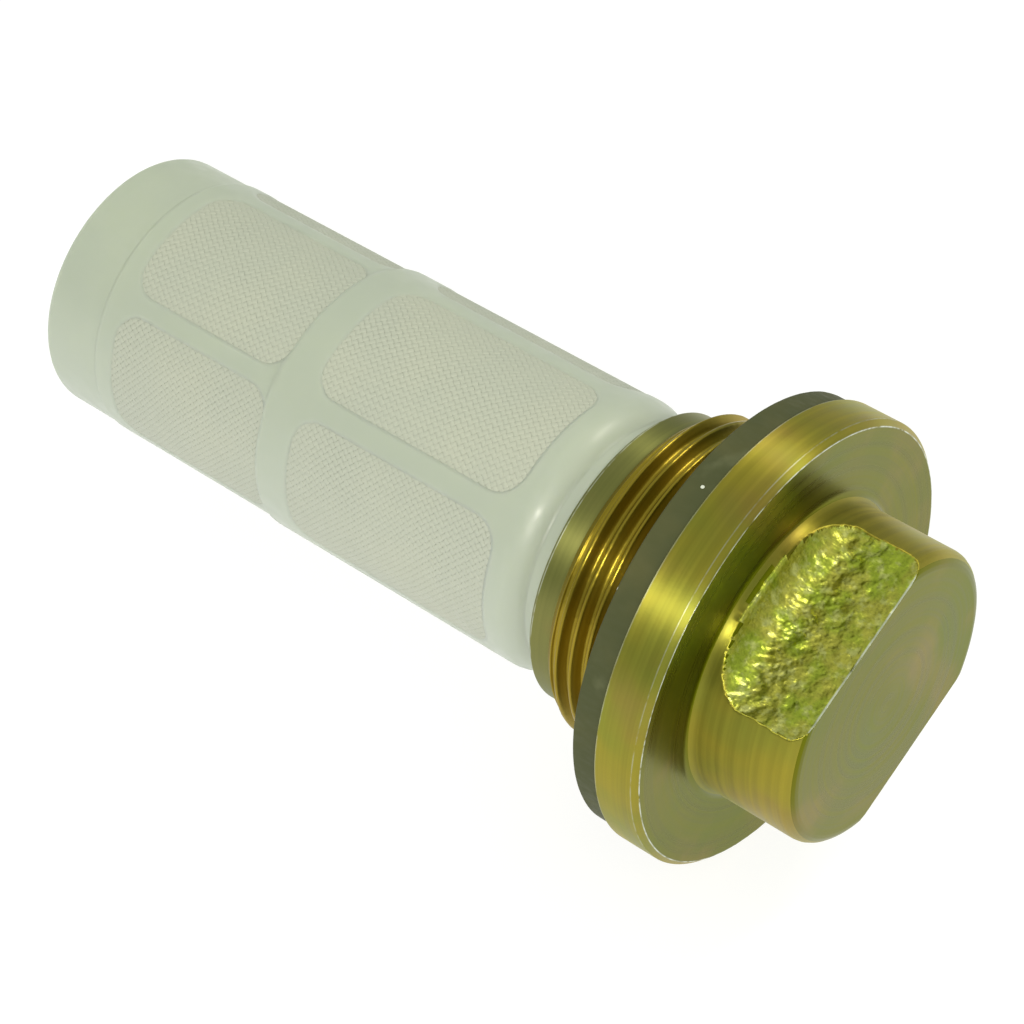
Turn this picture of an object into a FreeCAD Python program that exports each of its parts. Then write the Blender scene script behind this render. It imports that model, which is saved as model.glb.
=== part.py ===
import FreeCAD, Part
import math
import os
import re
import Sketcher

# Strainer screw plug: a flanged steel plug with a two-flat head, its sealing washer, and a
# moulded strainer whose spigot is pushed into the plug's blind bore.
# The plug's axis is X.  x = 0 is the washer's free face, which seats on the housing's boss;
# the head is on the +X side and the strainer on the -X side.  Units are millimetres and degrees.
# Inside each sub-part x is counted from the plug's sealing face, and every sub-part is moved by
# the washer's thickness, so that the washer's free face comes to x = 0.

sizes = {
    # plug: flange and head
    "flange_rad": 20.5,
    "flange_thick": 4.2,
    "flange_chamfer": 0.5,
    "face_dish": 0.25,
    "boss_rad": 13.35,
    "boss_height": 9.7,
    "boss_fillet": 0.8,
    "head_round": 1.2,
    "flats_across": 20.0,
    "flats_angle": 117.0,
    "flats_land": 0.8,
    "flats_root": 3.0,
    # plug: thread and pilot
    "thread_rad": 15.0,
    "thread_length": 10.4,
    "relief_depth": 1.1,
    "pilot_rad": 13.6,
    "pilot_length": 12.7,
    "pilot_chamfer": 0.35,
    # plug: blind bore for the strainer
    "bore_rad": 11.6,
    "bore_depth": 10.2,
    "bore_lead": 0.4,
    # washer
    "washer_inset": 0.4,
    "washer_thick": 2.6,
    "washer_clear": 0.2,
    "washer_edge": 0.15,
    # strainer frame
    "spigot_clear": 0.05,
    "spigot_wall": 1.35,
    "neck_length": 2.0,
    "shoulder_round": 3.0,
    "tube_rad": 12.85,
    "tube_step": 0.24,
    "tube_wall": 1.45,
    "collar_length": 3.8,
    "near_window": 21.9,
    "mid_ring": 4.1,
    "far_window": 17.6,
    "far_ring": 8.8,
    "rim_length": 6.7,
    "rim_step": 0.15,
    "rim_round": 0.6,
    "rib_count": 5,
    "rib_width": 2.9,
    "rib_angle": 67.6,
    "window_round": 2.2,
    # woven gauze sleeve moulded into the frame
    "gauze_cover": 0.5,
    "gauze_thick": 0.25,
    "gauze_margin": 1.3,
    "gauze_clear": 0.05,
    # how far a cutting sketch reaches past the solid
    "cut_past": 1.0,
}

doc = FreeCAD.newDocument("strainer_plug")
sheet = doc.addObject("Spreadsheet::Sheet", "Sizes")
for row, (alias, number) in enumerate(sizes.items(), start=1):
    sheet.set(f"A{row}", alias)
    sheet.set(f"B{row}", str(number))
    sheet.setAlias(f"B{row}", alias)
doc.recompute()


def linked(text):
    """The same expression with each size's name pointing at its cell."""
    return re.sub(r"\b(" + "|".join(sizes) + r")\b", r"Sizes.\1", text)


def value(text):
    answer = sheet.evalExpression(linked(text))
    return float(getattr(answer, "Value", answer))


def origin_part(body, role):
    return next(item for item in body.Origin.OriginFeatures if item.Role == role)


def new_body(label):
    body = doc.addObject("PartDesign::Body", label)
    body.Label = label
    body.setExpression("Placement.Base.x", linked("washer_thick"))
    return body


def arc_between(begin, finish, radius, turn):
    """The smaller arc from begin to finish: turn is 1 when it runs anticlockwise, -1 clockwise."""
    across = FreeCAD.Vector(finish[0] - begin[0], finish[1] - begin[1], 0)
    middle = FreeCAD.Vector((begin[0] + finish[0]) / 2, (begin[1] + finish[1]) / 2, 0)
    height = math.sqrt(max(radius**2 - (across.Length / 2) ** 2, 0))
    left = FreeCAD.Vector(-across.y, across.x, 0).normalize()
    centre = middle + left * height * turn
    angles = [math.atan2(point[1] - centre.y, point[0] - centre.x) for point in (begin, finish)]
    if turn < 0:
        angles.reverse()
    if angles[1] < angles[0]:
        angles[1] += 2 * math.pi
    circle = Part.Circle(centre, FreeCAD.Vector(0, 0, 1), radius)
    return Part.ArcOfCircle(circle, angles[0], angles[1])


def outline(body, name, points, arcs=(), turned=None):
    """A closed sketch through points, each a pair of expressions.

    arcs holds (index, radius expression, turn) for each stretch that is an arc, from point index
    to the next.  turned is the expression of the sketch plane's angle about the plug's axis.
    """
    sketch = body.newObject("Sketcher::SketchObject", name)
    sketch.AttachmentSupport = (origin_part(body, "XY_Plane"), [""])
    sketch.MapMode = "FlatFace"
    if turned:
        sketch.AttachmentOffset = FreeCAD.Placement(
            FreeCAD.Vector(), FreeCAD.Rotation(FreeCAD.Vector(1, 0, 0), value(turned))
        )
        sketch.setExpression("AttachmentOffset.Rotation.Angle", linked(turned))
    curved = {index: (radius, turn) for index, radius, turn in arcs}
    corners = [(value(x), value(y)) for x, y in points]
    first_ends = []
    last_ends = []
    for index, begin in enumerate(corners):
        finish = corners[(index + 1) % len(corners)]
        if index in curved:
            radius, turn = curved[index]
            number = sketch.addGeometry(arc_between(begin, finish, value(radius), turn), False)
        else:
            turn = 1
            line = Part.LineSegment(FreeCAD.Vector(*begin, 0), FreeCAD.Vector(*finish, 0))
            number = sketch.addGeometry(line, False)
        first_ends.append((number, 1 if turn > 0 else 2))
        last_ends.append((number, 2 if turn > 0 else 1))
    for index, (x, y) in enumerate(points):
        sketch.addConstraint(Sketcher.Constraint("Coincident", *last_ends[index - 1], *first_ends[index]))
        for kind, text, number in (("DistanceX", x, corners[index][0]), ("DistanceY", y, corners[index][1])):
            place = sketch.addConstraint(Sketcher.Constraint(kind, -1, 1, *first_ends[index], number))
            sketch.setExpression(f"Constraints[{place}]", linked(text))
    for index, (radius, turn) in curved.items():
        number = first_ends[index][0]
        place = sketch.addConstraint(Sketcher.Constraint("Radius", number, value(radius)))
        sketch.setExpression(f"Constraints[{place}]", linked(radius))
    doc.recompute()
    return sketch


def turned_solid(body, name, sketch, kind="Revolution"):
    """A full turn of the sketch about the plug's axis, added (Revolution) or cut (Groove)."""
    feature = body.newObject("PartDesign::" + kind, name)
    feature.Profile = sketch
    feature.ReferenceAxis = (origin_part(body, "X_Axis"), [""])
    feature.Angle = 360
    doc.recompute()
    return feature


def pocket(body, name, sketch, **settings):
    """A cut with straight walls, which must take something away."""
    before = body.Shape.Volume
    feature = body.newObject("PartDesign::Pocket", name)
    feature.Profile = sketch
    for setting, wanted in settings.items():
        if isinstance(wanted, str) and setting.startswith("Length"):
            feature.setExpression(setting, linked(wanted))
        else:
            setattr(feature, setting, wanted)
    doc.recompute()
    if body.Shape.Volume >= before:
        raise RuntimeError(name + " cuts nothing")
    return feature


def around_axis(body, name, originals, count):
    """The same features repeated evenly about the plug's axis."""
    pattern = body.newObject("PartDesign::PolarPattern", name)
    pattern.Originals = originals
    pattern.Axis = (origin_part(body, "X_Axis"), [""])
    pattern.Angle = 360
    pattern.setExpression("Occurrences", linked(count))
    body.Tip = pattern
    doc.recompute()
    return pattern


def make_plug_body():
    body = new_body("plug_body")
    relief_rad = "thread_rad - relief_depth"
    thread_lead = "thread_rad - pilot_rad"
    bore_floor = "bore_depth - pilot_length"
    head_end = "flange_thick + boss_height"
    points = [
        (head_end, "0"),
        (head_end, "boss_rad - head_round"),
        (head_end + " - head_round", "boss_rad"),
        ("flange_thick - face_dish + boss_fillet", "boss_rad"),
        ("flange_thick - face_dish", "boss_rad + boss_fillet"),
        ("flange_thick", "flange_rad - flange_chamfer"),
        ("flange_thick - flange_chamfer", "flange_rad"),
        ("0", "flange_rad"),
        ("0", relief_rad),
        ("-washer_thick", relief_rad),
        ("-washer_thick", "thread_rad"),
        (f"-(thread_length - ({thread_lead}))", "thread_rad"),
        ("-thread_length", "pilot_rad"),
        ("-(pilot_length - pilot_chamfer)", "pilot_rad"),
        ("-pilot_length", "pilot_rad - pilot_chamfer"),
        ("-pilot_length", "bore_rad + bore_lead"),
        ("-(pilot_length - bore_lead)", "bore_rad"),
        (bore_floor, "bore_rad"),
        (bore_floor, "0"),
    ]
    arcs = [(1, "head_round", 1), (3, "boss_fillet", -1)]
    turned_solid(body, "plug_turning", outline(body, "plug_outline", points, arcs))

    flat_start = "flange_thick + flats_land"
    flat_points = [
        (flat_start, "boss_rad + cut_past"),
        (flat_start, "flats_across / 2 + flats_root"),
        (flat_start + " + flats_root", "flats_across / 2"),
        (head_end + " + cut_past", "flats_across / 2"),
        (head_end + " + cut_past", "boss_rad + cut_past"),
    ]
    sketch = outline(body, "flat_outline", flat_points, [(1, "flats_root", 1)], turned="flats_angle")
    flat = pocket(body, "first_flat", sketch, Midplane=True, Length="2 * (boss_rad + cut_past)")
    around_axis(body, "both_flats", [flat], "2")
    return body


def make_sealing_washer():
    body = new_body("sealing_washer")
    inner = "thread_rad + washer_clear"
    outer = "flange_rad - washer_inset"
    points = [
        ("0", f"{inner} + washer_edge"),
        ("0", f"{outer} - washer_edge"),
        ("-washer_edge", outer),
        ("washer_edge - washer_thick", outer),
        ("-washer_thick", f"{outer} - washer_edge"),
        ("-washer_thick", f"{inner} + washer_edge"),
        ("washer_edge - washer_thick", inner),
        ("-washer_edge", inner),
    ]
    turned_solid(body, "washer_turning", outline(body, "washer_outline", points))
    return body


# Stations along the strainer, counted from the plug's sealing face.
far_rad = "(tube_rad - tube_step)"
rim_rad = f"({far_rad} - rim_step)"
spigot_rad = "(bore_rad - spigot_clear)"
shoulder_drop = f"(tube_rad - {spigot_rad})"
shoulder_length = f"sqrt(2 * shoulder_round * {shoulder_drop} - {shoulder_drop} * {shoulder_drop})"
neck_end = "(-pilot_length - neck_length)"
near_window_start = f"({neck_end} - collar_length)"
near_window_end = f"({near_window_start} - near_window)"
far_window_start = f"({near_window_end} - mid_ring)"
far_window_end = f"({far_window_start} - far_window)"
strainer_end = f"({far_window_end} - far_ring)"
gauze_outer = "(tube_rad - gauze_cover)"
gauze_inner = f"({gauze_outer} - gauze_thick)"


def make_strainer_frame():
    body = new_body("strainer_frame")
    inner_rad = "(tube_rad - tube_wall)"
    spigot_inner = f"({spigot_rad} - spigot_wall)"
    bore_floor = "bore_depth - pilot_length"
    points = [
        (bore_floor, spigot_inner),
        (bore_floor, spigot_rad),
        (neck_end, spigot_rad),
        (f"{neck_end} - {shoulder_length}", "tube_rad"),
        (f"{far_window_start} + tube_step", "tube_rad"),
        (far_window_start, far_rad),
        (f"{strainer_end} + rim_length", far_rad),
        (f"{strainer_end} + rim_length - rim_step", rim_rad),
        (f"{strainer_end} + rim_round", rim_rad),
        (strainer_end, f"{rim_rad} - rim_round"),
        (strainer_end, inner_rad),
        (f"{near_window_start} + gauze_margin", inner_rad),
        (neck_end, spigot_inner),
    ]
    arcs = [(2, "shoulder_round", 1), (8, "rim_round", 1)]
    turned_solid(body, "frame_turning", outline(body, "frame_outline", points, arcs))

    half_width = "tube_rad * sin(180 deg / rib_count - asin(rib_width / 2 / tube_rad))"
    windows = []
    for name, start, end in (
        ("near_window", near_window_start, near_window_end),
        ("far_window", far_window_start, far_window_end),
    ):
        points = [
            (f"{start} - window_round", half_width),
            (f"{end} + window_round", half_width),
            (end, f"{half_width} - window_round"),
            (end, f"window_round - {half_width}"),
            (f"{end} + window_round", f"-{half_width}"),
            (f"{start} - window_round", f"-{half_width}"),
            (start, f"window_round - {half_width}"),
            (start, f"{half_width} - window_round"),
        ]
        arcs = [(index, "window_round", 1) for index in (1, 3, 5, 7)]
        sketch = outline(
            body, name + "_outline", points, arcs, turned="rib_angle + 180 / rib_count - 90"
        )
        windows.append(pocket(body, name, sketch, Length="tube_rad + cut_past", Reversed=True))
    around_axis(body, "all_windows", windows, "rib_count")

    slot = [
        (f"{near_window_start} + gauze_margin", f"{gauze_inner} - gauze_clear"),
        (f"{near_window_start} + gauze_margin", f"{gauze_outer} + gauze_clear"),
        (f"{far_window_end} - gauze_margin", f"{gauze_outer} + gauze_clear"),
        (f"{far_window_end} - gauze_margin", f"{gauze_inner} - gauze_clear"),
    ]
    before = body.Shape.Volume
    turned_solid(body, "gauze_slot", outline(body, "slot_outline", slot), "Groove")
    if body.Shape.Volume >= before:
        raise RuntimeError("the gauze slot cuts nothing")
    return body


def make_gauze_sleeve():
    body = new_body("gauze_sleeve")
    near_end = f"{near_window_start} + gauze_margin - gauze_clear"
    far_end = f"{far_window_end} - gauze_margin + gauze_clear"
    points = [
        (near_end, gauze_inner),
        (near_end, gauze_outer),
        (far_end, gauze_outer),
        (far_end, gauze_inner),
    ]
    turned_solid(body, "sleeve_turning", outline(body, "sleeve_outline", points))
    return body


pieces = [make_plug_body(), make_sealing_washer(), make_strainer_frame(), make_gauze_sleeve()]
doc.recompute()

for item in doc.Objects:
    if {"Invalid", "Error"} & set(item.State):
        raise RuntimeError(f"{item.Label} failed: {item.State}")
for piece in pieces:
    if piece.Shape.isNull() or not piece.Shape.isValid() or len(piece.Shape.Solids) != 1:
        raise RuntimeError(piece.Label + " is not one valid solid")

os.makedirs("parts", exist_ok=True)
for piece in pieces:
    piece.Shape.exportStep(f"parts/{piece.Label}.step")
    box = piece.Shape.BoundBox
    print(
        f"{piece.Label}: {piece.Shape.Volume:.1f} mm3,"
        f" x {box.XMin:.2f} to {box.XMax:.2f}, across {box.YLength:.2f} by {box.ZLength:.2f}"
    )
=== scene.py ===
import math
import bmesh
import bpy
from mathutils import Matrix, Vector, noise


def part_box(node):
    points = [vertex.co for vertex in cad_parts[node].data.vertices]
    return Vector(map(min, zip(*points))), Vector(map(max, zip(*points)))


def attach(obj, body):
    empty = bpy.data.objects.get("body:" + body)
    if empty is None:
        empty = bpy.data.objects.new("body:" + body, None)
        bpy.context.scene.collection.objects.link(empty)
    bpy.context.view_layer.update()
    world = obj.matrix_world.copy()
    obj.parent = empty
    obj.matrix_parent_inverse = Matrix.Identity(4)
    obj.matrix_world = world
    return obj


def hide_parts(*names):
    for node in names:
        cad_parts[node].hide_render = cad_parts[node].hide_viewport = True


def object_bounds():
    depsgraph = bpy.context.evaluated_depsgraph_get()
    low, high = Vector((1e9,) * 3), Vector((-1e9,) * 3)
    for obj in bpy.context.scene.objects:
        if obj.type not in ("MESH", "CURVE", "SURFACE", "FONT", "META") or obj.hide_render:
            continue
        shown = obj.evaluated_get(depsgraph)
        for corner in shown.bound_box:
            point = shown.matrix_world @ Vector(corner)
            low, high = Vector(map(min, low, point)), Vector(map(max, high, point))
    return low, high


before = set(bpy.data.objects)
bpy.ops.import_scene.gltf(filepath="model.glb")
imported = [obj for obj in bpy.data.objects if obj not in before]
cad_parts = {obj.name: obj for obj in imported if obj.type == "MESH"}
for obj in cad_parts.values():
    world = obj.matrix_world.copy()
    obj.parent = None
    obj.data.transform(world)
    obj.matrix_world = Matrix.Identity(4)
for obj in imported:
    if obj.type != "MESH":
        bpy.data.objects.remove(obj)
cadLow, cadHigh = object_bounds()
noise.seed_set(7)  # without a seed the gauze would wander differently on each run

# Strainer screw plug: turned steel plug with torn flats, fibre washer, moulded frame, woven gauze.
# Lengths in the dictionaries are millimetres along the plug's axis (x) and out from it (rad).
# Angles are degrees, from +Y towards +Z.
mm = 0.001
weldGap = 0.0005  # points nearer than this become one
touch = 0.001  # lengths this near count as equal
axisRad = 0.02  # outlines stop this far from the axis
plugBox = [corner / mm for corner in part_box("plug_body")]
washerBox = [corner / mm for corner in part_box("sealing_washer")]
frameBox = [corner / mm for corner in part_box("strainer_frame")]


# Mesh helpers
def newPiece(name, points, faces, values=None):
    mesh = bpy.data.meshes.new(name)
    mesh.from_pydata([(x * mm, y * mm, z * mm) for x, y, z in points], [], faces)
    for label, numbers in (values or {}).items():
        mesh.attributes.new(label, "FLOAT", "POINT").data.foreach_set("value", numbers)
    work = bmesh.new()
    work.from_mesh(mesh)
    bmesh.ops.remove_doubles(work, verts=work.verts, dist=weldGap * mm)
    bmesh.ops.recalc_face_normals(work, faces=work.faces)
    for face in work.faces:
        face.smooth = True
    work.to_mesh(mesh)
    work.free()
    piece = bpy.data.objects.new(name, mesh)
    bpy.context.scene.collection.objects.link(piece)
    return piece


def softOutline(corners, arcSteps=5, hold=0.05):
    # corners are (x, rad, rounding, wear, step): wear is pale bare metal on the edge, partly real
    # wear and partly a painted highlight; step is the longest run allowed after the corner
    path = []
    for index, (x, rad, rounding, wearAndGlint, step) in enumerate(corners):
        here = Vector((x, rad))
        if rounding == 0:
            path.append((here, wearAndGlint, step))
            continue
        back = (Vector(corners[index - 1][:2]) - here).normalized()
        onward = (Vector(corners[(index + 1) % len(corners)][:2]) - here).normalized()
        turn = back.angle(onward)
        bend = math.pi - turn
        reach = rounding / math.tan(turn / 2)
        centre = here + (back + onward).normalized() * rounding / math.sin(turn / 2)
        begin, finish = here + back * reach - centre, here + onward * reach - centre
        path.append((centre + begin + back * hold, 0.0, step))
        for number in range(arcSteps + 1):
            share = number / arcSteps
            spot = begin * math.sin((1 - share) * bend) + finish * math.sin(share * bend)
            path.append((centre + spot / math.sin(bend), wearAndGlint, step))
        path.append((centre + finish + onward * hold, 0.0, step))
    filled = []
    for (here, wearAndGlint, step), (there, nextWearAndGlint, _) in zip(path, path[1:] + path[:1]):
        parts = max(1, math.ceil((there - here).length / step - 1e-6))
        for number in range(parts):
            share = number / parts
            spot = here.lerp(there, share)
            filled.append((spot.x, spot.y, wearAndGlint + (nextWearAndGlint - wearAndGlint) * share))
    return filled


def openOutline(corners):
    # without the closing run back along the axis
    outline = softOutline(corners)
    last = max(index for index, spot in enumerate(outline) if spot[1] < axisRad + touch)
    return outline[: last + 1]


def ringFaces(rows, columns, closed):
    faces = []
    for row in range(rows if closed else rows - 1):
        here, there = row * columns, (row + 1) % rows * columns
        for column in range(columns):
            after = (column + 1) % columns
            faces.append((here + column, here + after, there + after, there + column))
    return faces


def turnedPiece(name, outline, columns, shape=None, closed=False, shadedFaceFinish=False):
    # zone is 0 where the first finish goes and 1 or more where the second one does;
    # with the face option, faces that look along the axis take the third finish, a darker copy of the
    # steel: painted shade
    points, wearAndGlint, zone = [], [], []
    for x, rad, edge in outline:
        for column in range(columns):
            angle = 2 * math.pi * column / columns
            spotX, spotRad, spotZone = shape(x, rad, angle) if shape else (x, rad, 0.0)
            points.append((spotX, spotRad * math.cos(angle), spotRad * math.sin(angle)))
            wearAndGlint.append(edge)
            zone.append(spotZone)
    faces = ringFaces(len(outline), columns, closed)
    piece = newPiece(name, points, faces, {"wearAndGlint": wearAndGlint, "zone": zone})
    zones = piece.data.attributes["zone"].data
    for face in piece.data.polygons:
        if min(zones[corner].value for corner in face.vertices) > 0.5:
            face.material_index = 1
        elif shadedFaceFinish and abs(face.normal.x) > 0.8:
            face.material_index = 2
    return piece


# Plug: flange and two-flat head
head = {
    "columns": 700,
    "boss": 13.35, "faceRound": 1.2, "faceBand": 0.25, "filletRound": 0.8, "dish": 0.25,
    "flangeThick": 4.2, "chamfer": 0.5, "edgeRound": 0.07, "backRound": 0.12, "backInner": 13.0,
    "flatsAcross": 20.0, "flatsAngle": 117.0, "flatsStart": 0.8, "flatsRoot": 3.0,
    "flatsSink": 0.04, "rootMargin": 0.3, "burrAndGlint": 0.22,
    "lumps": 0.17, "lumpSizes": (1.7, 0.8), "tears": 0.1, "grain": 0.06, "grainSizes": (0.26, 0.15),
    "faceCalm": 0.45, "calmLength": 5, "crispLength": 0.3, "crispLeast": 0.15,
}


def tornFlat(x, rad, angle):
    # radius limited by the two torn flats; a flat runs out in a concave root beside the flange
    # the second number is 0 off the flats, 1 on them and up to 2 at the burr along the face, whose
    # pale bare metal is partly a real burr and partly a painted highlight
    top = plugBox[1].x
    rootEnd = washerBox[1].x + head["flangeThick"] + head["flatsStart"] + head["flatsRoot"]
    best, torn = rad, 0.0
    for side in (0, 1):
        turn = angle - math.radians(head["flatsAngle"] + 180 * side)
        lean = math.cos(turn)
        if lean < 0.5 or x < rootEnd - head["flatsRoot"] - head["rootMargin"]:
            continue  # this flat lies on the other side, or has not begun
        across = head["flatsAcross"] / 2 * math.tan(turn)
        spot = Vector((x, across, 40.0 * side))
        broad, small = [noise.noise(spot / size) for size in head["lumpSizes"]]
        lumps = broad + 0.5 * small
        tears = noise.noise(Vector((x / 0.9 + across / 3, across / 0.45, 9 + side)))
        coarse, fine = [noise.noise(spot / size) for size in head["grainSizes"]]
        grain = coarse + 0.6 * fine
        away = min(1.0, max(0.0, (top - x) / head["calmLength"]))
        calm = head["faceCalm"] + (1 - head["faceCalm"]) * away
        depth = calm * (head["lumps"] * lumps + head["tears"] * tears + head["grain"] * grain)
        depth *= min(1.0, (top - x) / head["crispLength"] + head["crispLeast"])
        height = head["flatsAcross"] / 2 + depth - head["flatsSink"]
        if x < rootEnd:
            drop = min(rootEnd - x, head["flatsRoot"])
            height += head["flatsRoot"] - math.sqrt(max(head["flatsRoot"] ** 2 - drop**2, 0.0))
        limit = height / lean
        if limit < best:
            best, torn = limit, 1.0 + max(0.0, 1 - (top - x) / head["burrAndGlint"])
    return best, torn


def headShape(x, rad, angle):
    top = plugBox[1].x
    flatRim = head["boss"] - head["faceRound"]
    if x > top - touch and rad <= flatRim + touch:
        return x, tornFlat(top, flatRim, angle)[0] * rad / flatRim, 0.0
    if rad > head["boss"] + touch:
        return x, rad, 0.0
    limited, torn = tornFlat(x, rad, angle)
    return x, limited, torn


def makeHead():
    top, back = plugBox[1].x, washerBox[1].x
    face, flange = back + head["flangeThick"], plugBox[1].y
    boss, edge = head["boss"], head["edgeRound"]
    corners = [
        (top, axisRad, 0, 0, 1.3),
        (top, boss - head["faceRound"] - head["faceBand"], 0, 0, 0.1),
        (top, boss, head["faceRound"] - touch, 0.0, 0.12),
        (face - head["dish"], boss, head["filletRound"], 0.0, 0.35),
        # the face chamfer's edge gets the most pale bare metal: partly wear, partly a painted
        # highlight
        (face, flange - head["chamfer"], edge, 1.0, 0.2),
        (face - head["chamfer"], flange, edge, 0.35, 0.4),
        (back, flange, head["backRound"], 0.35, 0.8),
        (back, head["backInner"], 0, 0, 4),
        (back, axisRad, 0, 0, 4),
    ]
    return turnedPiece(
        "plug_head", openOutline(corners), head["columns"], headShape, shadedFaceFinish=True
    )


# Plug: thread, pilot and blind bore
shank = {
    "columns": 640, "rowsPerPitch": 20,
    "crest": 15.0, "pitch": 1.5, "depth": 0.92, "relief": 13.9, "sunk": 0.4,
    "crestFlat": 0.13, "flankWide": 0.68, "softShare": 0.35, "worn": 0.02,
    "threadEnd": 6.4, "pilot": 13.6, "chamfer": 0.35, "lead": 1.4, "cutMargins": (0.3, 0.2),
    "bore": 11.6, "boreLead": 0.4, "boreFloor": 0.1,
}


def threadShape(x, rad, angle):
    # right-hand helix: the crest moves towards the head as the angle grows
    pilotZone = 1.0 if x < -shank["threadEnd"] - shank["lead"] + 0.02 else 0.0
    alongMargin, outMargin = shank["cutMargins"]
    if rad < shank["pilot"] - outMargin or x > alongMargin:
        return x, rad, pilotZone
    phase = (x / shank["pitch"] - angle / (2 * math.pi)) % 1.0
    away = abs(phase - 0.5) * 2  # 0 at the crest, 1 at the root
    flank = min(1.0, max(0.0, (away - shank["crestFlat"]) / shank["flankWide"]))
    soft = shank["softShare"]
    groove = shank["depth"] * flank * flank * (3 - 2 * flank) * soft
    groove += shank["depth"] * flank * (1 - soft)
    spot = Vector((x / 2, math.cos(angle) * 9, math.sin(angle) * 9))
    helix = shank["crest"] - groove - shank["worn"] * abs(noise.noise(spot * 2.1))
    return x, min(rad, helix), pilotZone


def makeShank():
    back, end = washerBox[1].x, plugBox[0].x
    step = shank["pitch"] / shank["rowsPerPitch"]
    corners = [
        (back + shank["sunk"], axisRad, 0, 0, 20),
        (back + shank["sunk"], shank["relief"], 0, 0, 1),
        (0.0, shank["relief"], 0.15, 0, step),
        (-shank["crest"] + shank["relief"], shank["crest"], 0.1, 0, step),
        (-shank["threadEnd"], shank["crest"], 0.1, 0, step),
        (-shank["threadEnd"] - shank["lead"], shank["pilot"], 0.15, 0, 0.4),
        (end + shank["chamfer"], shank["pilot"], 0.1, 0.6, 0.4),
        (end, shank["pilot"] - shank["chamfer"], 0.06, 0.6, 0.6),
        (end, shank["bore"] + shank["boreLead"], 0.08, 0.3, 0.6),
        (end + shank["boreLead"], shank["bore"], 0.1, 0, 3),
        (shank["boreFloor"], shank["bore"], 0, 0, 12),
        (shank["boreFloor"], axisRad, 0, 0, 20),
    ]
    return turnedPiece("plug_shank", openOutline(corners), shank["columns"], threadShape)


# Sealing washer
washer = {
    "columns": 480, "edgeRound": 0.22, "hole": 15.2,
    "wavy": 0.05, "wavyFrom": 17, "wavyWidth": 3,
}


def washerShape(x, rad, angle):
    spot = Vector((x / 3, 5 * math.cos(angle), 5 * math.sin(angle)))
    nearOuter = max(0.0, (rad - washer["wavyFrom"]) / washer["wavyWidth"])
    uneven = noise.noise(spot) + 0.5 * noise.noise(spot * 4)
    return x, rad - washer["wavy"] * nearOuter * (0.5 + 0.5 * uneven), 0.0


def makeWasher():
    front, back, outer = washerBox[1].x, washerBox[0].x, washerBox[1].y
    rounding = washer["edgeRound"]
    corners = [
        (front, washer["hole"], rounding, 0, 0.6),
        (front, outer, rounding, 0.8, 0.35),
        (back, outer, rounding, 0.8, 0.6),
        (back, washer["hole"], rounding, 0, 0.6),
    ]
    return turnedPiece(
        "washer_ring", softOutline(corners), washer["columns"], washerShape, closed=True
    )


# Strainer frame: ribbed tube with two rows of windows and a spigot
tube = {
    "near": 12.85, "far": 12.61, "rim": 12.46, "inside": 11.4,
    "stepFrom": -41.62, "stepTo": -41.95, "rimFrom": -61.55, "rimTo": -61.85,
    "spigot": 11.55, "spigotInside": 10.2, "neckEnd": -12.1, "shoulder": 3.0,
    "shoulderParts": 10, "neckBlend": 0.15, "spigotRow": -6.0, "spigotLead": 0.3,
    "insideLead": 0.1, "endRound": 0.6, "endParts": 6, "endInside": 0.12,
    "stepRows": 9, "stepRow": 0.12, "rimRow": -63.5, "rimBlend": 0.5,
    "ribs": 5, "ribAngle": 67.6, "halfWindow": 6.33, "cornerRound": 2.2,
    "edgeRound": 0.68, "edgeParts": 4, "lip": 0.18,
    "windows": ((-15.9, -37.8), (-41.9, -59.5)), "cells": (-15.1, -39.85, -61.0),
    "longParts": 44, "shortParts": 30, "blendRows": 8,
}


def easeBetween(x, begin, finish, high, low):
    share = min(1.0, max(0.0, (x - begin) / (finish - begin)))
    return high + (low - high) * share * share * (3 - 2 * share)


def tubeRad(x):
    if x > (tube["stepTo"] + tube["rimFrom"]) / 2:
        return easeBetween(x, tube["stepFrom"], tube["stepTo"], tube["near"], tube["far"])
    return easeBetween(x, tube["rimFrom"], tube["rimTo"], tube["far"], tube["rim"])


def cellPerimeter():
    # once round a square from -1 to 1, as (along the tube, across the cell)
    long, short = tube["longParts"], tube["shortParts"]
    spots = [(1.0, -1 + 2 * n / short) for n in range(short)]
    spots += [(1 - 2 * n / long, 1.0) for n in range(long)]
    spots += [(-1.0, 1 - 2 * n / short) for n in range(short)]
    spots += [(-1 + 2 * n / long, -1.0) for n in range(long)]
    return spots


def windowSpot(along, across, window, grow):
    # where a perimeter spot falls on the window's rounded rectangle, grown outwards
    halfLong = (window[0] - window[1]) / 2 + grow
    halfWide = tube["halfWindow"] + grow
    corner = tube["cornerRound"] + grow
    x, side = along * halfLong, across * halfWide
    overX, overSide = abs(x) - halfLong + corner, abs(side) - halfWide + corner
    if overX > 0 and overSide > 0:
        size = math.hypot(overX, overSide)
        x = math.copysign(halfLong - corner + corner * overX / size, x)
        side = math.copysign(halfWide - corner + corner * overSide / size, side)
    return (window[0] + window[1]) / 2 + x, side


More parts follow.
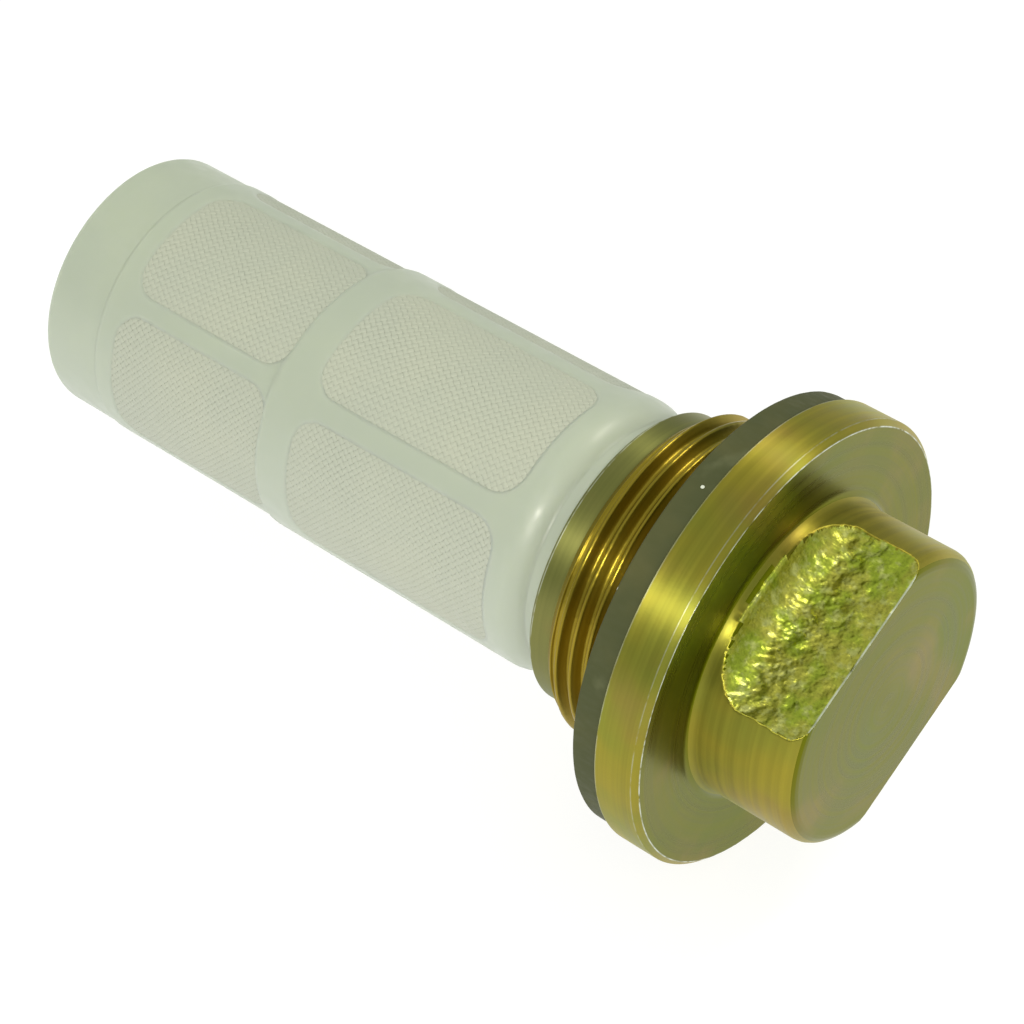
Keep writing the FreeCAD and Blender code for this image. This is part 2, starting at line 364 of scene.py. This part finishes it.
def cellRows(along, across, window, cell):
    # section from the outer skin, over the window's rounded edge, to the inner skin: (x, turn, rad)
    parts = tube["edgeParts"]
    half = math.pi / tube["ribs"]
    cellX = (cell[0] + cell[1]) / 2 + along * (cell[0] - cell[1]) / 2
    edge = tube["edgeRound"]
    rows = []

    def spotAt(grow, depth, inside):
        x, side = windowSpot(along, across, window, grow - tube["lip"])
        rad = tube["inside"] + depth if inside else tubeRad(x) - depth
        return x, math.asin(side / rad), rad

    rimX, rimTurn, _ = spotAt(edge, 0, False)
    for number in range(tube["blendRows"]):
        share = number / tube["blendRows"]
        x = cellX + (rimX - cellX) * share
        rows.append((x, half * across + (rimTurn - half * across) * share, tubeRad(x)))
    for number in range(parts + 1):
        bend = math.pi / 2 * number / parts
        rows.append(spotAt(edge * (1 - math.sin(bend)), edge * (1 - math.cos(bend)), False))
    for number in range(parts + 1):
        bend = math.pi / 2 * number / parts
        rows.append(spotAt(edge * (1 - math.cos(bend)), edge * (1 - math.sin(bend)), True))
    rimX, rimTurn, _ = rows[-1]
    for number in range(1, parts + 1):
        share = number / parts
        turn = rimTurn + (half * across - rimTurn) * share
        rows.append((rimX + (cellX - rimX) * share, turn, tube["inside"]))
    return rows


def ringTurns():
    parts = tube["shortParts"]
    step = 2 * math.pi / tube["ribs"]
    base = math.radians(tube["ribAngle"])
    return [base + step * (n / parts) for n in range(parts * tube["ribs"])]


def spigotSection():
    # (x, rad) from the tube's near end over the shoulder, along the spigot and back inside
    first, inside, spigot = tube["cells"][0], tube["inside"], tube["spigot"]
    low = tube["near"] - tube["shoulder"]
    drop = math.acos((spigot - low) / tube["shoulder"])
    shoulderX = tube["neckEnd"] - tube["shoulder"] * math.sin(drop)
    path = [(first, tube["near"])]
    for number in range(tube["shoulderParts"] + 1):
        bend = drop * number / tube["shoulderParts"]
        x = shoulderX + tube["shoulder"] * math.sin(bend)
        path.append((x, low + tube["shoulder"] * math.cos(bend)))
    tip, lead = frameBox[1].x, tube["spigotLead"]
    hollow, insideLead = tube["spigotInside"], tube["insideLead"]
    path += [(tube["neckEnd"] + tube["neckBlend"], spigot), (tube["spigotRow"], spigot)]
    path += [(tip - lead, spigot), (tip, spigot - lead)]
    path += [(tip, hollow + insideLead), (tip - insideLead, hollow)]
    path += [(tube["neckEnd"], hollow), (shoulderX, inside), (first, inside)]
    return path


def farSection():
    # (x, rad) from the last windows over the rim step, round the open end and back inside
    end, rounding, lead = frameBox[0].x, tube["endRound"], tube["endInside"]
    first, rim = tube["cells"][2], tube["rim"]
    rows = [first - tube["stepRow"] * number for number in range(tube["stepRows"])]
    path = [(x, tubeRad(x)) for x in rows]
    path += [(tube["rimRow"], rim), (end + rounding + tube["rimBlend"], rim)]
    for number in range(tube["endParts"] + 1):
        bend = math.pi / 2 * number / tube["endParts"]
        x = end + rounding * (1 - math.sin(bend))
        path.append((x, rim - rounding * (1 - math.cos(bend))))
    path += [(end, tube["inside"] + lead), (end + lead, tube["inside"]), (first, tube["inside"])]
    return path


def windowTurn(rib):
    # the angle halfway between a rib and the next one
    return math.radians(tube["ribAngle"] + 360 / tube["ribs"] * (rib + 0.5))


def makeFrame():
    points, faces = [], []

    def addGrid(columns):
        # each column is a section; the last one joins the first
        first, rows = len(points), len(columns[0])
        for column in columns:
            points.extend(column)
        for number in range(len(columns)):
            here, there = first + number * rows, first + (number + 1) % len(columns) * rows
            for row in range(rows - 1):
                faces.append((here + row, here + row + 1, there + row + 1, there + row))

    for section in (spigotSection(), farSection()):
        addGrid([
            [(x, rad * math.cos(turn), rad * math.sin(turn)) for x, rad in section]
            for turn in ringTurns()
        ])
    for rib in range(tube["ribs"]):
        middle = windowTurn(rib)
        for index, window in enumerate(tube["windows"]):
            cell = tube["cells"][index : index + 2]
            columns = []
            for along, across in cellPerimeter():
                rows = cellRows(along, across, window, cell)
                columns.append([
                    (x, rad * math.cos(middle + turn), rad * math.sin(middle + turn))
                    for x, turn, rad in rows
                ])
            addGrid(columns)
    return newPiece("strainer_moulding", points, faces)


# Gauze: two crossing families of flattened threads, woven over and under, one panel per window
gauze = {
    "below": 0.13, "pitch": 0.47, "halfWide": 0.262, "halfHigh": 0.04, "rise": 0.024,
    "directions": (36.0, -48.0), "wander": 0.16, "wanderSize": 5.0,
    "pointsPerCross": 3, "sides": 6, "tuck": 0.6,
}


def wanderOf(x, around):
    spot = Vector((x / gauze["wanderSize"], around / gauze["wanderSize"], 3.7))
    shift = noise.noise_vector(spot) * gauze["wander"]
    return shift.x, shift.y


def threadStretch(normal, along, number, halfLong, halfWide):
    # the stretch of thread number that lies inside the panel's rectangle
    base = Vector(normal) * number * gauze["pitch"]
    low, high = -math.inf, math.inf
    for start, step, half in ((base.x, along[0], halfLong), (base.y, along[1], halfWide)):
        ends = sorted(((-half - start) / step, (half - start) / step))
        low, high = max(low, ends[0]), min(high, ends[1])
    return base, low, high


def makeGauzePanel(name, window, middleTurn):
    middleX = (window[0] + window[1]) / 2
    rad = tubeRad(middleX) - gauze["below"]
    halfLong = (window[0] - window[1]) / 2 + gauze["tuck"]
    halfWide = rad * math.asin(tube["halfWindow"] / rad) + gauze["tuck"]
    points, faces = [], []
    axes = []
    for angle in gauze["directions"]:
        turn = math.radians(angle)
        axes.append(((math.cos(turn), math.sin(turn)), (-math.sin(turn), math.cos(turn))))
    reach = int(math.hypot(halfLong, halfWide) / gauze["pitch"]) + 1
    step = gauze["pitch"] / gauze["pointsPerCross"]
    for family, (along, normal) in enumerate(axes):
        otherNormal = axes[1 - family][1]
        for number in range(-reach, reach + 1):
            base, low, high = threadStretch(normal, along, number, halfLong, halfWide)
            if high - low < step * 2:
                continue
            count = int((high - low) / step) + 2
            line = []
            for n in range(count):
                reachAlong = low + (high - low) * n / (count - 1)
                x, around = base.x + along[0] * reachAlong, base.y + along[1] * reachAlong
                crossing = (x * otherNormal[0] + around * otherNormal[1]) / gauze["pitch"]
                rise = gauze["rise"] * math.cos(math.pi * (crossing + number)) * (1 - 2 * family)
                shiftX, shiftAround = wanderOf(x + middleX, around + middleTurn * rad)
                turn = middleTurn + (around + shiftAround) / rad
                outward = Vector((0, math.cos(turn), math.sin(turn)))
                line.append((Vector((middleX + x + shiftX, 0, 0)) + outward * (rad + rise), outward))
            addThread(points, faces, line)
    return newPiece(name, points, faces)


def addThread(points, faces, line):
    sides = gauze["sides"]
    first = len(points)
    for number, (centre, outward) in enumerate(line):
        ahead = line[min(number + 1, len(line) - 1)][0] - line[max(number - 1, 0)][0]
        sideways = ahead.cross(outward).normalized()
        upward = sideways.cross(ahead).normalized()
        for side in range(sides):
            bend = 2 * math.pi * side / sides
            wide = sideways * gauze["halfWide"] * math.cos(bend)
            points.append(centre + wide + upward * gauze["halfHigh"] * math.sin(bend))
    for number in range(len(line) - 1):
        here = first + number * sides
        for side in range(sides):
            after = (side + 1) % sides
            faces.append((here + side, here + after, here + sides + after, here + sides + side))
    last = first + (len(line) - 1) * sides
    faces.append(tuple(first + side for side in reversed(range(sides))))
    faces.append(tuple(last + side for side in range(sides)))


def makeGauze():
    panels = []
    for rib in range(tube["ribs"]):
        for label, window in zip(("near", "far"), tube["windows"]):
            panels.append(makeGauzePanel(f"gauze_{label}_{rib + 1}", window, windowTurn(rib)))
    return panels


# Shader groups: patterns that several finishes share
def addNode(tree, kind, **settings):
    node = tree.nodes.new(kind)
    for label, setting in settings.items():
        setattr(node, label, setting)
    return node


def feed(tree, socket, given):
    if isinstance(given, bpy.types.NodeSocket):
        tree.links.new(given, socket)
    else:
        socket.default_value = given


def mathOf(tree, operation, *given):
    node = addNode(tree, "ShaderNodeMath", operation=operation)
    for socket, number in zip(node.inputs, given):
        feed(tree, socket, number)
    return node.outputs[0]


def rangeOf(tree, given, low, high, newLow=0.0, newHigh=1.0):
    node = addNode(tree, "ShaderNodeMapRange", interpolation_type="SMOOTHSTEP")
    for label, number in (
        ("Value", given), ("From Min", low), ("From Max", high),
        ("To Min", newLow), ("To Max", newHigh),
    ):
        feed(tree, node.inputs[label], number)
    return node.outputs["Result"]


def mixOf(tree, factor, first, second):
    # sockets 0, 6 and 7 are the factor and the two colours of a colour mix
    node = addNode(tree, "ShaderNodeMix", data_type="RGBA")
    for place, given in ((0, factor), (6, first), (7, second)):
        wanted = (*given, 1) if isinstance(given, tuple) and len(given) == 3 else given
        feed(tree, node.inputs[place], wanted)
    return node.outputs[2]


def newGroup(name, inputs, outputs):
    tree = bpy.data.node_groups.new(name, "ShaderNodeTree")
    for label, number in inputs:
        socket = tree.interface.new_socket(name=label, in_out="INPUT", socket_type="NodeSocketFloat")
        socket.default_value = number
    for label in outputs:
        tree.interface.new_socket(name=label, in_out="OUTPUT", socket_type="NodeSocketFloat")
    return tree, tree.nodes.new("NodeGroupInput"), tree.nodes.new("NodeGroupOutput")


def placeGroup(tree, group, **settings):
    node = addNode(tree, "ShaderNodeGroup", node_tree=group)
    for label, number in settings.items():
        feed(tree, node.inputs[label], number)
    return node


def turningGroup():
    # fine rings left by the lathe: they follow the distance along the axis and out from it
    tree, given, out = newGroup(
        "turningLines", [("Lines", 6000.0), ("Runout", 1.5)], ["Height", "Streak"]
    )
    place = addNode(tree, "ShaderNodeTexCoord").outputs["Object"]
    parts = addNode(tree, "ShaderNodeSeparateXYZ")
    feed(tree, parts.inputs[0], place)
    x, y, z = parts.outputs
    ySquare, zSquare = mathOf(tree, "MULTIPLY", y, y), mathOf(tree, "MULTIPLY", z, z)
    rad = mathOf(tree, "SQRT", mathOf(tree, "ADD", ySquare, zSquare))
    rad = mathOf(tree, "MAXIMUM", rad, 0.0001)
    joined = addNode(tree, "ShaderNodeCombineXYZ")
    feed(tree, joined.inputs[0], mathOf(tree, "MULTIPLY", x, given.outputs["Lines"]))
    feed(tree, joined.inputs[1], mathOf(tree, "MULTIPLY", rad, given.outputs["Lines"]))
    sideways = mathOf(tree, "DIVIDE", y, rad)
    feed(tree, joined.inputs[2], mathOf(tree, "MULTIPLY", sideways, given.outputs["Runout"]))
    turn = mathOf(tree, "MULTIPLY", mathOf(tree, "DIVIDE", z, rad), given.outputs["Runout"])
    for label, scale, detail in (("Height", 1.0, 3.0), ("Streak", 0.22, 2.0)):
        lines = addNode(tree, "ShaderNodeTexNoise", noise_dimensions="4D")
        feed(tree, lines.inputs["Vector"], joined.outputs[0])
        feed(tree, lines.inputs["W"], turn)
        feed(tree, lines.inputs["Scale"], scale)
        feed(tree, lines.inputs["Detail"], detail)
        feed(tree, out.inputs[label], lines.outputs[0])
    return tree


def cloudGroup():
    # soft patches of another tint
    tree, given, out = newGroup(
        "tintClouds", [("Scale", 150.0), ("Offset", 0.0), ("Low", 0.45), ("High", 0.65)], ["Mask"]
    )
    clouds = addNode(tree, "ShaderNodeTexNoise", noise_dimensions="4D")
    feed(tree, clouds.inputs["Vector"], addNode(tree, "ShaderNodeTexCoord").outputs["Object"])
    feed(tree, clouds.inputs["W"], given.outputs["Offset"])
    feed(tree, clouds.inputs["Scale"], given.outputs["Scale"])
    feed(tree, clouds.inputs["Detail"], 3.0)
    feed(tree, clouds.inputs["Roughness"], 0.55)
    mask = rangeOf(tree, clouds.outputs[0], given.outputs["Low"], given.outputs["High"])
    feed(tree, out.inputs["Mask"], mask)
    return tree


def grainGroup():
    # small pits and bumps of a cast, torn or pressed surface
    tree, given, out = newGroup(
        "surfaceGrain", [("Scale", 3000.0), ("Stretch", 1.0)], ["Height", "PitShade"]
    )
    mapping = addNode(tree, "ShaderNodeMapping", vector_type="POINT")
    feed(tree, mapping.inputs["Vector"], addNode(tree, "ShaderNodeTexCoord").outputs["Object"])
    stretch = addNode(tree, "ShaderNodeCombineXYZ")
    feed(tree, stretch.inputs[0], given.outputs["Stretch"])
    feed(tree, stretch.inputs[1], 1.0)
    feed(tree, stretch.inputs[2], 1.0)
    feed(tree, mapping.inputs["Scale"], stretch.outputs[0])
    fine = addNode(tree, "ShaderNodeTexNoise")
    cells = addNode(tree, "ShaderNodeTexVoronoi", feature="SMOOTH_F1")
    for node in (fine, cells):
        feed(tree, node.inputs["Vector"], mapping.outputs[0])
        feed(tree, node.inputs["Scale"], given.outputs["Scale"])
    feed(tree, fine.inputs["Detail"], 4.0)
    feed(tree, out.inputs["Height"], mathOf(tree, "ADD", fine.outputs[0], cells.outputs["Distance"]))
    # the second output marks the low spots of the grain, where a darker tint is painted: painted
    # shade in the pits
    feed(tree, out.inputs["PitShade"], rangeOf(tree, fine.outputs[0], 0.36, 0.48, 1.0, 0.0))
    return tree


def speckGroup():
    # scattered dust specks: a few cells out of many hold one
    tree, given, out = newGroup(
        "dustSpecks", [("Scale", 900.0), ("Share", 0.05), ("Size", 0.16)], ["Mask"]
    )
    cells = addNode(tree, "ShaderNodeTexVoronoi")
    feed(tree, cells.inputs["Vector"], addNode(tree, "ShaderNodeTexCoord").outputs["Object"])
    feed(tree, cells.inputs["Scale"], given.outputs["Scale"])
    parts = addNode(tree, "ShaderNodeSeparateColor")
    feed(tree, parts.inputs[0], cells.outputs["Color"])
    chosen = mathOf(tree, "LESS_THAN", parts.outputs[0], given.outputs["Share"])
    near = mathOf(tree, "LESS_THAN", cells.outputs["Distance"], given.outputs["Size"])
    feed(tree, out.inputs["Mask"], mathOf(tree, "MULTIPLY", chosen, near))
    return tree


turningLines, tintClouds = turningGroup(), cloudGroup()
surfaceGrain, dustSpecks = grainGroup(), speckGroup()


# Finishes
def newFinish(name, **settings):
    material = bpy.data.materials.new(name)
    material.use_nodes = True
    shader = material.node_tree.nodes["Principled BSDF"]
    for label, number in settings.items():
        shader.inputs[label.replace("_", " ")].default_value = number
    return material, material.node_tree, shader


def attributeOf(tree, label):
    return addNode(tree, "ShaderNodeAttribute", attribute_name=label).outputs["Fac"]


def addBump(tree, shader, *layers):
    # layers are (height, distance in millimetres, strength)
    normal = None
    for height, distance, strength in layers:
        bump = addNode(tree, "ShaderNodeBump")
        feed(tree, bump.inputs["Height"], height)
        feed(tree, bump.inputs["Distance"], distance * mm)
        feed(tree, bump.inputs["Strength"], strength)
        if normal:
            feed(tree, bump.inputs["Normal"], normal)
        normal = bump.outputs[0]
    feed(tree, shader.inputs["Normal"], normal)


# scatter is how far light spreads along the axis, patchy how strong the patches of green and rust are
steels = {
    "turnedSideSteel": {
        "tint": (0.385, 0.325, 0.042), "green": (0.25, 0.285, 0.045),
        "roughness": (0.42, 0.52), "scatter": 0.95, "patchy": 0.7,
    },
    # the end faces take a darker, less golden copy of the turned steel: painted shade on the faces
    "shadedTurnedFaceSteel": {
        "tint": (0.158, 0.158, 0.006), "green": (0.118, 0.155, 0.002),
        "roughness": (0.25, 0.38), "scatter": 0.2, "patchy": 0.6,
    },
    "threadSteel": {
        "tint": (0.33, 0.245, 0.028), "green": (0.19, 0.19, 0.024),
        "roughness": (0.28, 0.38), "scatter": 0.8, "patchy": 0.6,
    },
    "pilotSteel": {
        "tint": (0.225, 0.225, 0.070), "green": (0.16, 0.185, 0.045),
        "roughness": (0.42, 0.52), "scatter": 0.85, "patchy": 0.6,
    },
}
# pale bare zinc on worn edges, also standing in for bright edge highlights: partly a painted
# highlight
bareZincAndGlint, rustTint = (0.66, 0.70, 0.60), (0.33, 0.20, 0.07)


def turnedFinish(name):
    # turning marks scatter light along the axis and keep it narrow round the piece
    steel = steels[name]
    patchy = steel["patchy"]
    material, tree, shader = newFinish(
        name, Metallic=1.0, Anisotropic=steel["scatter"], Anisotropic_Rotation=0.25
    )
    feed(tree, shader.inputs["Tangent"], addNode(tree, "ShaderNodeTangent", axis="X").outputs[0])
    lines = placeGroup(tree, turningLines, Lines=9000.0, Runout=1.2)
    green = placeGroup(tree, tintClouds, Scale=85.0, Offset=1.0, Low=0.42, High=0.68)
    rust = placeGroup(tree, tintClouds, Scale=110.0, Offset=5.0, Low=0.5, High=0.75)
    greenness = mathOf(tree, "MULTIPLY", green.outputs[0], patchy)
    color = mixOf(tree, greenness, steel["tint"], steel["green"])
    color = mixOf(tree, mathOf(tree, "MULTIPLY", rust.outputs[0], patchy * 0.6), color, rustTint)
    shade = rangeOf(tree, lines.outputs["Streak"], 0.3, 0.7, 0.86, 1.14)
    scaled = addNode(tree, "ShaderNodeVectorMath", operation="SCALE")
    feed(tree, scaled.inputs[0], color)
    feed(tree, scaled.inputs["Scale"], shade)
    chips = placeGroup(tree, tintClouds, Scale=900.0, Offset=2.0, Low=0.3, High=0.6)
    # pale bare metal along the marked edges: partly real wear, partly a painted highlight
    wearAndGlint = mathOf(tree, "MULTIPLY", attributeOf(tree, "wearAndGlint"), chips.outputs[0])
    feed(tree, shader.inputs["Base Color"], mixOf(tree, wearAndGlint, scaled.outputs[0], bareZincAndGlint))
    rough = rangeOf(tree, lines.outputs["Streak"], 0.3, 0.7, *steel["roughness"])
    feed(tree, shader.inputs["Roughness"], rough)
    grain = placeGroup(tree, surfaceGrain, Scale=2200.0, Stretch=1.0)
    addBump(
        tree, shader, (lines.outputs["Height"], 0.004, 0.5), (grain.outputs["Height"], 0.004, 0.5)
    )
    return material


# the pits tint is painted shade in the low spots of the grain
tornTints = {
    "straw": (0.43, 0.42, 0.07), "leaf": (0.30, 0.40, 0.035),
    "pale": (0.56, 0.58, 0.22), "pits": (0.12, 0.13, 0.03),
}


def tornFinish():
    material, tree, shader = newFinish("tornPassivatedSteel", Metallic=1.0)
    grain = placeGroup(tree, surfaceGrain, Scale=6500.0, Stretch=0.6)
    coarse = placeGroup(tree, surfaceGrain, Scale=2800.0, Stretch=0.5)
    leaf = placeGroup(tree, tintClouds, Scale=340.0, Offset=3.0, Low=0.42, High=0.62)
    pale = placeGroup(tree, tintClouds, Scale=1100.0, Offset=7.0, Low=0.48, High=0.66)
    color = tornTints["straw"]
    for mask, strength, label in (
        (leaf.outputs[0], 0.8, "leaf"),
        (pale.outputs[0], 0.6, "pale"),
        # darker in the low spots of the grain: painted shade in the pits
        (grain.outputs["PitShade"], 0.25, "pits"),
    ):
        color = mixOf(tree, mathOf(tree, "MULTIPLY", mask, strength), color, tornTints[label])
    # pale strip along the flats' edge at the face: partly a real burr, partly a painted highlight
    burrAndGlint = rangeOf(tree, attributeOf(tree, "zone"), 1.05, 1.6, 0.0, 0.85)
    feed(tree, shader.inputs["Base Color"], mixOf(tree, burrAndGlint, color, bareZincAndGlint))
    rough = rangeOf(tree, coarse.outputs["Height"], 0.4, 1.2, 0.28, 0.45)
    feed(tree, shader.inputs["Roughness"], rough)
    addBump(
        tree, shader, (coarse.outputs["Height"], 0.045, 0.8), (grain.outputs["Height"], 0.02, 0.8)
    )
    return material


fibreTints = {
    "dark": (0.060, 0.068, 0.024), "worn": (0.088, 0.088, 0.030),
    "scuff": (0.17, 0.18, 0.095), "dust": (0.65, 0.68, 0.60),
}


def fibreFinish():
    material, tree, shader = newFinish("pressedFibre", Specular_IOR_Level=0.3)
    grain = placeGroup(tree, surfaceGrain, Scale=1800.0, Stretch=0.5)
    scuffs = placeGroup(tree, tintClouds, Scale=260.0, Offset=4.0, Low=0.56, High=0.72)
    tint = placeGroup(tree, tintClouds, Scale=120.0, Offset=8.0, Low=0.4, High=0.7)
    dust = placeGroup(tree, dustSpecks, Scale=650.0, Share=0.03, Size=0.12)
    color = mixOf(tree, tint.outputs[0], fibreTints["dark"], fibreTints["worn"])
    scuffed = mathOf(tree, "MULTIPLY", scuffs.outputs[0], 0.3)
    color = mixOf(tree, scuffed, color, fibreTints["scuff"])
    color = mixOf(tree, dust.outputs[0], color, fibreTints["dust"])
    feed(tree, shader.inputs["Base Color"], color)
    rough = rangeOf(tree, grain.outputs["Height"], 0.5, 1.2, 0.6, 0.75)
    feed(tree, shader.inputs["Roughness"], rough)
    addBump(tree, shader, (grain.outputs["Height"], 0.015, 0.7))
    return material


# seeping is how much light enters the nylon, softness how far it travels in millimetres
nylons = {
    "mouldedNylon": {
        "tint": (0.455, 0.50, 0.42), "cloudy": (0.475, 0.52, 0.425),
        "roughness": (0.3, 0.45), "seeping": 0.9, "softness": 1.5,
    },
    "wovenNylon": {
        "tint": (0.455, 0.480, 0.405), "cloudy": (0.475, 0.495, 0.41),
        "roughness": (0.5, 0.65), "seeping": 0.0, "softness": 0.8,
    },
}


def nylonFinish(name):
    nylon = nylons[name]
    material, tree, shader = newFinish(
        name, IOR=1.53, Subsurface_Weight=nylon["seeping"],
        Subsurface_Scale=nylon["softness"] * mm, Subsurface_Radius=(1.0, 1.0, 0.85),
    )
    clouds = placeGroup(tree, tintClouds, Scale=110.0, Offset=6.0, Low=0.35, High=0.7)
    color = mixOf(tree, clouds.outputs[0], nylon["tint"], nylon["cloudy"])
    feed(tree, shader.inputs["Base Color"], color)
    grain = placeGroup(tree, surfaceGrain, Scale=700.0, Stretch=1.0)
    rough = rangeOf(tree, grain.outputs["Height"], 0.5, 1.2, *nylon["roughness"])
    feed(tree, shader.inputs["Roughness"], rough)
    addBump(tree, shader, (grain.outputs["Height"], 0.012, 0.5))
    return material


# Stage, lamps and camera
view = {
    "aim": (-17.1, -7.2, 6.0), "azimuth": 40.2, "elevation": 42.4, "distance": 261.0,
    "lens": 110.42, "sensor": 36, "clip": (0.01, 20),
}
studio = {
    "floorHalf": 1500, "floorShade": 0.3, "floorGlow": 0.79,
    "horizon": 0.55, "zenith": 0.7, "skyTint": (0.95, 1.0, 0.9),
    "lamps": {  # azimuth, elevation, distance, size, power, tint
        "flashLamp": (33, 34.5, 420, 44, 0.9, (1.0, 0.95, 0.85)),
        "windowLamp": (151, 50, 500, 130, 0.65, (1.0, 0.95, 0.85)),
    },
}


def backDirection(azimuth, elevation):
    a, e = math.radians(azimuth), math.radians(elevation)
    return Vector((math.sin(a) * math.cos(e), -math.cos(a) * math.cos(e), math.sin(e)))


def aimFrom(thing, azimuth, elevation, distance):
    # stands the camera or a lamp back from the aim point, looking at it
    back = backDirection(azimuth, elevation)
    thing.location = (Vector(view["aim"]) + back * distance) * mm
    thing.rotation_mode = "QUATERNION"
    thing.rotation_quaternion = (-back).to_track_quat("-Z", "Y")
    bpy.context.scene.collection.objects.link(thing)


def makeCamera():
    data = bpy.data.cameras.new("viewpoint")
    data.lens = view["lens"]
    data.sensor_width = view["sensor"]
    data.clip_start, data.clip_end = view["clip"]
    camera = bpy.data.objects.new("viewpoint", data)
    aimFrom(camera, view["azimuth"], view["elevation"], view["distance"])
    bpy.context.scene.camera = camera


def makeLamp(name, azimuth, elevation, distance, size, power, tint):
    data = bpy.data.lights.new(name, "AREA")
    data.shape = "DISK"
    data.size = size * mm
    data.energy = power
    data.color = tint
    aimFrom(bpy.data.objects.new(name, data), azimuth, elevation, distance)


def makeFloor():
    # the floor glows a little, so that it stays pale while its reflections stay weak
    half, shade, low = studio["floorHalf"], studio["floorShade"], cadLow.z / mm
    points = [(-half, -half, low), (half, -half, low), (half, half, low), (-half, half, low)]
    floor = newPiece("studio_floor", points, [(0, 1, 2, 3)])
    floorPaint = newFinish(
        "studioFloor", Base_Color=(shade, shade, shade, 1), Roughness=0.9,
        Specular_IOR_Level=0.0, Emission_Color=(1, 1, 1, 1), Emission_Strength=studio["floorGlow"],
    )[0]
    floor.data.materials.append(floorPaint)


def makeLight():
    world = bpy.data.worlds.new("studio")
    bpy.context.scene.world = world
    world.use_nodes = True
    tree = world.node_tree
    height = addNode(tree, "ShaderNodeSeparateXYZ")
    feed(tree, height.inputs[0], addNode(tree, "ShaderNodeTexCoord").outputs["Generated"])
    glow = rangeOf(tree, height.outputs[2], -0.1, 1.0, studio["horizon"], studio["zenith"])
    feed(tree, tree.nodes["Background"].inputs["Strength"], glow)
    tree.nodes["Background"].inputs["Color"].default_value = (*studio["skyTint"], 1)
    for name, placing in studio["lamps"].items():
        makeLamp(name, *placing)
    bpy.context.scene.view_settings.view_transform = "Standard"


makeCamera()
makeFloor()
makeLight()
print("staged the floor, the lamps and the camera")
sideSteel, shadedFaceSteel, threadSteel, pilotSteel = [turnedFinish(name) for name in steels]
tornSteel, fibre = tornFinish(), fibreFinish()
mouldedNylon, wovenNylon = [nylonFinish(name) for name in nylons]
print("mixed", len(steels) + len(nylons) + 2, "finishes")
# piece, body it rides on, node it stands for, material slot, finishes by face
pieces = [
    # the third finish, for the end faces, is the darker steel copy with painted shade
    (makeHead(), "plug", "plug_body", "plated_steel", (sideSteel, tornSteel, shadedFaceSteel)),
    (makeShank(), "plug", "plug_body", "plated_steel", (threadSteel, pilotSteel)),
    (makeWasher(), "washer", "sealing_washer", "washer_fibre", (fibre,)),
    (makeFrame(), "strainer", "strainer_frame", "frame_nylon", (mouldedNylon,)),
]
pieces += [
    (panel, "strainer", "gauze_sleeve", "gauze_nylon", (wovenNylon,)) for panel in makeGauze()
]
for piece, bodyName, node, slotName, finishes in pieces:
    for finish in finishes:
        piece.data.materials.append(finish)
    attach(piece, bodyName)
    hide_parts(node)
    print("built", piece.name, len(piece.data.polygons), "faces")
